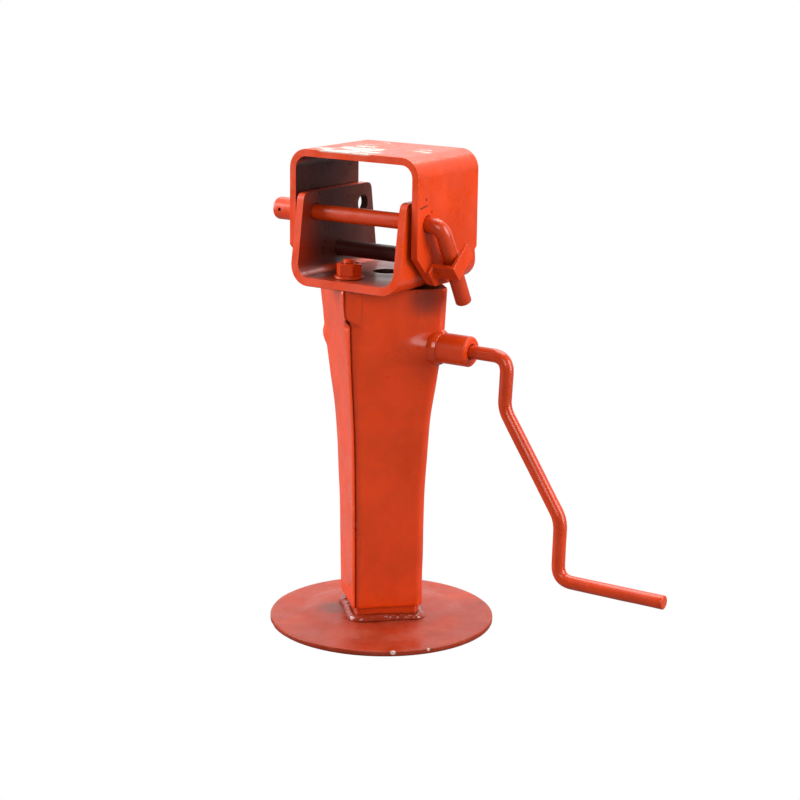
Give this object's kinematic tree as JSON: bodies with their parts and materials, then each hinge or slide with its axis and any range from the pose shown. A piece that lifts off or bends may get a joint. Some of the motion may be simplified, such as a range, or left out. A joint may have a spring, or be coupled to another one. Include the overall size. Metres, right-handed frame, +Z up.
{
  "type": "trailer tongue jack",
  "caption": "Square drop-leg jack with a side crank and a round foot, hung from a tilting bracket that locks with a bent pin inside a fixed U bracket.",
  "frame": {"origin": "middle of the foot plate's underside, on the housing's vertical axis", "axes": "+Z up along the leg; +X along the crank shaft and both bracket pins, towards the crank; -Y towards the open front of the brackets"},
  "size_m": [0.379, 0.2, 0.423],
  "materials": {
    "bracket_paint": "glossy orange-red enamel with chips at the edges",
    "housing_paint": "glossy orange-red enamel with runs",
    "rod_paint": "glossy red enamel",
    "foot_paint": "dusty red enamel",
    "weld_paint": "glossy enamel over weld beads",
    "gear_steel": "dark oiled steel",
    "machined_steel": "machined",
    "bronze": "machined"
  },
  "bodies": {
    "frame": {"housing_shell_right": "housing_paint", "housing_shell_left": "housing_paint", "top_plate": "bracket_paint", "bearing_plate": "gear_steel", "lower_race": "machined_steel", "ball_cage": "machined_steel", "crank_bush": "bracket_paint", "rear_bush": "gear_steel", "bush_weld": "weld_paint", "mount_bracket": "bracket_paint", "tilt_bracket": "bracket_paint", "pivot_pin": "rod_paint", "pivot_washer": "machined_steel", "pivot_split_pin": "machined_steel", "lock_pin_guide": "bracket_paint", "pin_keeper": "bracket_paint", "stud_front": "bracket_paint", "stud_rear": "bracket_paint", "stud_washer_front": "bracket_paint", "stud_washer_rear": "bracket_paint", "stud_nut_front": "bracket_paint", "stud_nut_rear": "bracket_paint"},
    "leg": {"foot_plate": "foot_paint", "foot_weld": "weld_paint", "inner_tube": "rod_paint", "nut_plate": "gear_steel", "drive_nut": "bronze"},
    "screw": {"lead_screw": "machined_steel", "crown_gear": "gear_steel", "crown_gear_pin": "machined_steel", "upper_race": "machined_steel"},
    "crank": {"crank_handle": "rod_paint", "bevel_pinion": "gear_steel", "pinion_pin": "machined_steel"},
    "lock_pin": {"lock_pin": "rod_paint"}
  },
  "joints": [
    {"name": "crank_turn", "type": "hinge", "parent": "frame", "child": "crank", "pos_m": [0.09, 0, 0.2565], "axis": [1, 0, 0], "range_deg": [0, 21600]},
    {"name": "screw_turn", "type": "hinge", "parent": "frame", "child": "screw", "pos_m": [0, 0, 0.23], "axis": [0, 0, 1], "range_deg": [0, 10800]},
    {"name": "leg_extend", "type": "slide", "parent": "frame", "child": "leg", "axis": [0, 0, -1], "range_m": [0, 0.15]},
    {"name": "lock_pin_turn", "type": "hinge", "parent": "frame", "child": "lock_pin", "pos_m": [0.0654, -0.0353, 0.3678], "axis": [1, 0, 0], "range_deg": [0, 120]}
  ],
  "couplings": [
    {"joint": "screw_turn", "follows": "crank_turn", "ratio": 0.5},
    {"joint": "leg_extend", "follows": "crank_turn", "m_per_rad": 0.00039789}
  ]
}
